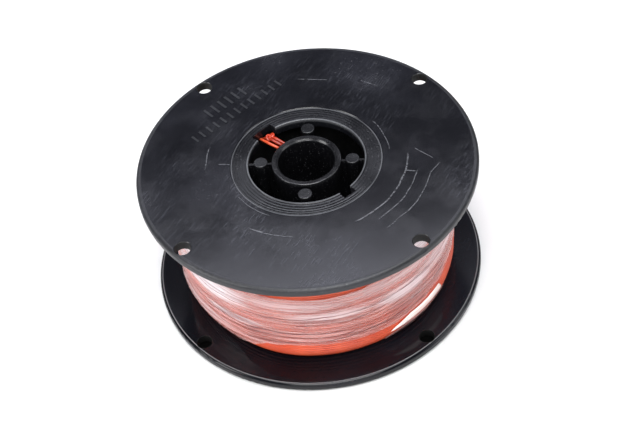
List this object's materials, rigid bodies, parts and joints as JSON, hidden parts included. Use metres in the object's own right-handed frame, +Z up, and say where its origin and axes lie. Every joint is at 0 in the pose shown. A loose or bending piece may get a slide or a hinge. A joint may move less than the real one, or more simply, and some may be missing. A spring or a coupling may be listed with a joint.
{
  "type": "string reel",
  "caption": "Flanged plastic reel of racket string with a one-inch arbor tube, drive holes in both flanges and the wound string held by stretch film.",
  "frame": {"origin": "centre of the bottom face, on the arbor tube's axis", "axes": "+Z up along the arbor tube's axis; +X to the right and +Y away, with the reel lying on its lower flange"},
  "size_m": [0.1524, 0.1524, 0.0686],
  "materials": {
    "flange_plastic": "black moulded plastic, handled and scuffed",
    "hub_plastic": "black moulded plastic, satin",
    "tube_plastic": "grey-black moulded plastic, rubbed bright at its rim",
    "string": "glossy orange monofilament",
    "film": "clear stretch film, crinkled"
  },
  "bodies": {
    "root": {"upper_flange": "flange_plastic", "lower_flange": "flange_plastic", "upper_collar": "hub_plastic", "lower_collar": "hub_plastic", "drum": "hub_plastic", "arbor_tube": "tube_plastic", "post_east": "hub_plastic", "post_north": "hub_plastic", "post_west": "hub_plastic", "post_south": "hub_plastic", "web_east_inner": "hub_plastic", "web_east_outer": "hub_plastic", "web_west_inner": "hub_plastic", "web_west_outer": "hub_plastic", "string_winding": "string", "string_start_tail": "string", "string_start_knot": "string", "stretch_film": "film"}
  },
  "joints": []
}
